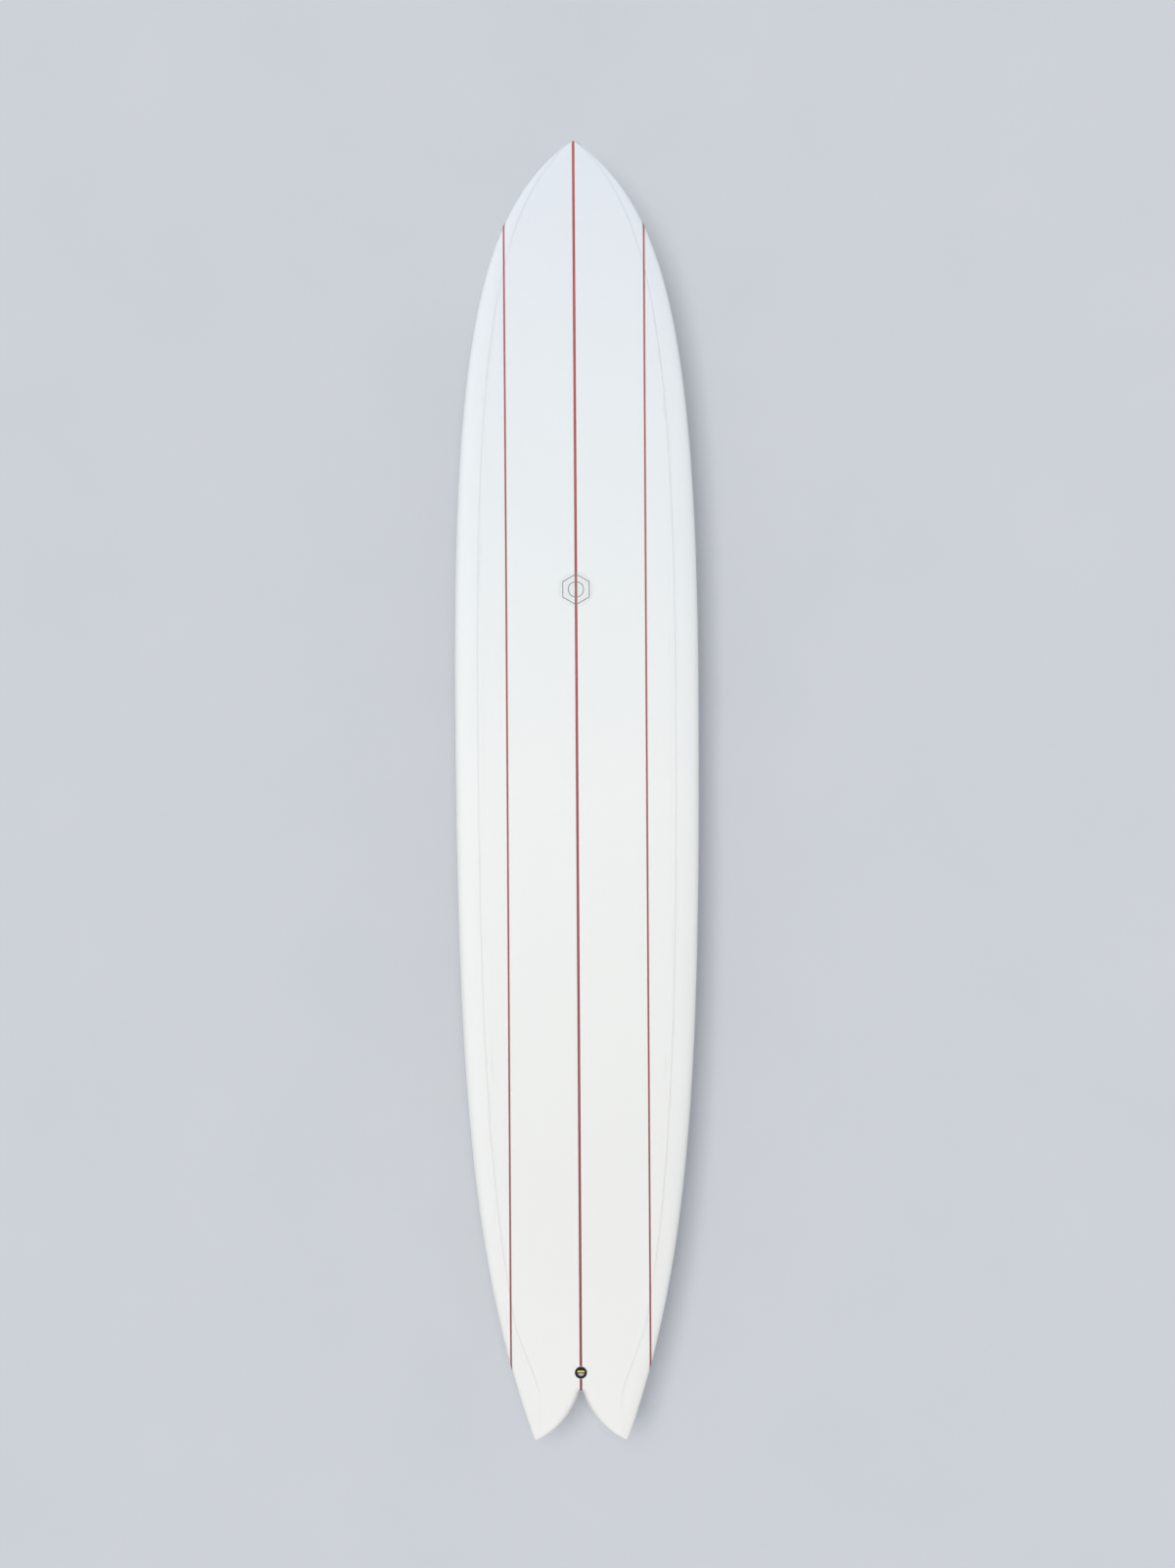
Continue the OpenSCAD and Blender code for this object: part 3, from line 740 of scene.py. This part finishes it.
right, both = [1], [1, -1]
pieces = {
    "foam_right_rail": strip("foam_right_rail_fine", SIDE_STRINGER[1], FAR, 26, right),
    "foam_right_centre": strip("foam_right_centre_fine", CENTRE_STRINGER, SIDE_STRINGER[0], 26, right),
    "stringer_right": strip("stringer_right_fine", *SIDE_STRINGER, 4, right),
    "stringer_centre": strip("stringer_centre_fine", 0, CENTRE_STRINGER, 3, both),
    "foam_left_rail": strip("foam_left_rail_fine", SIDE_STRINGER[1], FAR, 26, [-1]),
    "foam_left_centre": strip("foam_left_centre_fine", CENTRE_STRINGER, SIDE_STRINGER[0], 26, [-1]),
    "stringer_left": strip("stringer_left_fine", *SIDE_STRINGER, 4, [-1]),
}
for part in ("foam_right_centre", "foam_left_centre", "stringer_centre"):
    cut(pieces[part], cup_hole)
    cut(pieces[part], box_hole)

outer = LAYER_T - LAYER_GAP
inner = 2 * LAYER_T - LAYER_GAP
patch_lines = skin_lines(0, LAP, 1, LAYER_T) + skin_lines(LAP, 0, 1, inner)
pieces["deck_patch"] = loft("deck_patch_fine", patch_lines, both)
pieces["deck_decal"] = loft("deck_decal_fine", patch_lines, both)
cut(pieces["deck_patch"], cup_hole)
cut(pieces["deck_patch"], decal_hole)
cut(pieces["deck_decal"], decal_hole, "INTERSECT")
pieces["deck_laminate"] = loft(
    "deck_laminate_fine",
    skin_lines(0, COLUMNS, 1, 0)
    + skin_lines(COLUMNS - 1, LAP, -1, 0)
    + skin_lines(LAP, COLUMNS - 1, -1, outer)
    + skin_lines(COLUMNS, 0, 1, outer),
    both,
    outside=2 * COLUMNS - LAP,
)
cut(pieces["deck_laminate"], cup_hole)
pieces["bottom_laminate"] = loft(
    "bottom_laminate_fine",
    skin_lines(0, LAP, -1, 0)
    + skin_lines(LAP, COLUMNS, -1, LAYER_T)
    + skin_lines(COLUMNS - 1, LAP, 1, LAYER_T)
    + skin_lines(LAP, COLUMNS, 1, inner)
    + skin_lines(COLUMNS - 1, 0, -1, inner),
    both,
    outside=LAP,
)
cut(pieces["bottom_laminate"], box_hole)
for cutter in (cup_hole, box_hole, decal_hole):
    bpy.data.objects.remove(cutter)
for node, obj in pieces.items():
    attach(obj, "board")
    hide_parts(node)


# ---------- Carried-over CAD nodes ----------


def soften(node, bevel_mm):
    """Joins a CAD node's faces at render time, rounds its hard edges and shades it smooth."""
    obj = frame["nodes"][node]
    if "custom_normal" in obj.data.attributes:
        obj.data.attributes.remove(obj.data.attributes["custom_normal"])
    obj.data.polygons.foreach_set("use_smooth", [True] * len(obj.data.polygons))
    weld = obj.modifiers.new("join", "WELD")
    weld.merge_threshold = 0.002 * MM
    if bevel_mm:
        bevel = obj.modifiers.new("round", "BEVEL")
        bevel.width = bevel_mm * MM
        bevel.segments = 3
        bevel.limit_method = "ANGLE"
        bevel.angle_limit = math.radians(50)
    split = obj.modifiers.new("sharp", "EDGE_SPLIT")
    split.split_angle = math.radians(40)
    return obj


CAD_BEVELS = {
    "leash_plug_cup": 0.35,
    "leash_plug_bar": 0,
    "leash_plug_resin": 0,
    "fin_box": 0.2,
    "fin_box_resin": 0,
    "fin": 0,
    "fin_pin": 0.2,
    "fin_nut_plate": 0.2,
    "fin_screw": 0.15,
}
cad = {node: soften(node, bevel) for node, bevel in CAD_BEVELS.items()}


MATERIALS = {
    foam: ("foam", ["foam_left_rail", "foam_left_centre", "foam_right_centre", "foam_right_rail"]),
    cedar: ("cedar", ["stringer_left", "stringer_centre", "stringer_right"]),
    gloss_skin: ("clear_skin", ["deck_laminate", "bottom_laminate"]),
    inner_cloth: ("clear_skin", ["deck_patch"]),
    decal_material(): ("tissue", ["deck_decal"]),
    black: ("black_plastic", ["fin_box"]),
    cup_black: ("black_plastic", ["leash_plug_cup"]),
    brass: ("bar_brass", ["leash_plug_bar"]),
    resin: ("bedding_resin", ["leash_plug_resin", "fin_box_resin"]),
    fin_glass: ("fin_fibreglass", ["fin"]),
    steel: ("stainless", ["fin_pin", "fin_nut_plate", "fin_screw"]),
}
for material, (slot_name, names) in MATERIALS.items():
    for node in names:
        obj = pieces.get(node) or cad[node]
        if material is not gloss_skin:
            obj.data.materials.clear()
            obj.data.materials.append(material)


# ---------- Floor, lights and camera ----------


def floor_material():
    n = material_nodes("floor")
    clouds = n.noise((3, 3, 3), detail=4)
    colour = n.blend(clouds, srgb(198, 201, 206), srgb(204, 207, 211))
    shader = n.add("BsdfPrincipled", Base_Color=colour, Roughness=0.9)
    return n.finish(shader.outputs[0])


FLOOR_HALF = 30.0
floor_z = cad_box[0].z - 0.5 * MM
floor_corners = [
    (x * FLOOR_HALF / MM, y * FLOOR_HALF / MM, floor_z / MM) for x, y in ((-1, -1), (1, -1), (1, 1), (-1, 1))
]
floor = tool("floor", floor_corners, [[0, 1, 2, 3]], Matrix.Identity(4))
floor.data.materials.append(floor_material())

# The key lights the whole length evenly and is never seen in the gloss.
key_light = bpy.data.lights.new("key", "SUN")
key_light.energy = 2.18
key_light.angle = math.radians(24)
key_light.color = (1.0, 0.985, 0.965)
key = bpy.data.objects.new("key", key_light)
key.rotation_euler = Vector((0.1, -0.08, -1.0)).to_track_quat("-Z", "Y").to_euler()
key.visible_glossy = False
bpy.context.scene.collection.objects.link(key)


SKY = 0.42
DIM_SKY = 0.3  # what the gloss sees between the glows
# Each glow's direction, how narrow it is and how strong
GLOWS = [
    ((-1.0, 0.1, 0.55), 7.0, 1.6),
    ((1.0, 0.0, 0.6), 7.0, 0.9),
    ((0.0, 1.0, 0.5), 9.0, 1.6),
    ((0.1, -1.0, 0.45), 9.0, 1.2),
]


def world_shader():
    """An even pale sky for all but the gloss, which sees soft round glows on a dimmer one."""
    n = Nodes(bpy.data.worlds.new("studio"), "OutputWorld")
    direction = n.coordinates.outputs["Generated"]
    glow = DIM_SKY
    for aim, narrow, strength in GLOWS:
        facing = n.add("VectorMath", {"operation": "DOT_PRODUCT"}, **{"0": direction})
        facing.inputs[1].default_value = Vector(aim).normalized()
        lobe = n.math("POWER", n.math("MAXIMUM", facing.outputs["Value"], 0.0), narrow)
        glow = n.math("MULTIPLY_ADD", lobe, strength, glow)
    path = n.add("LightPath")
    strength = n.math("MULTIPLY", n.math("SUBTRACT", 1.0, path.outputs["Is Glossy Ray"]), SKY)
    strength = n.math("MULTIPLY_ADD", path.outputs["Is Glossy Ray"], glow, strength)
    sky = n.add("Background", Color=(0.86, 0.92, 1.0, 1.0), Strength=strength)
    return n.finish(sky.outputs[0])


bpy.context.scene.world = world_shader()
bpy.context.scene.view_settings.view_transform = "Standard"

DECK_HEIGHT = 0.08
CAMERA_AWAY = 8.0
FRAME_TALL = 3.684  # metres of the board's plane that the picture's height spans
SENSOR = 36.0
camera_data = bpy.data.cameras.new("camera")
camera_data.sensor_width = SENSOR
camera_data.lens = SENSOR * CAMERA_AWAY / FRAME_TALL
camera_data.clip_end = 200.0
camera = bpy.data.objects.new("camera", camera_data)
camera.location = (0.0242, 0.0216, DECK_HEIGHT + CAMERA_AWAY)
camera.rotation_euler = (0, 0, math.radians(-0.363))
bpy.context.scene.collection.objects.link(camera)
bpy.context.scene.camera = camera
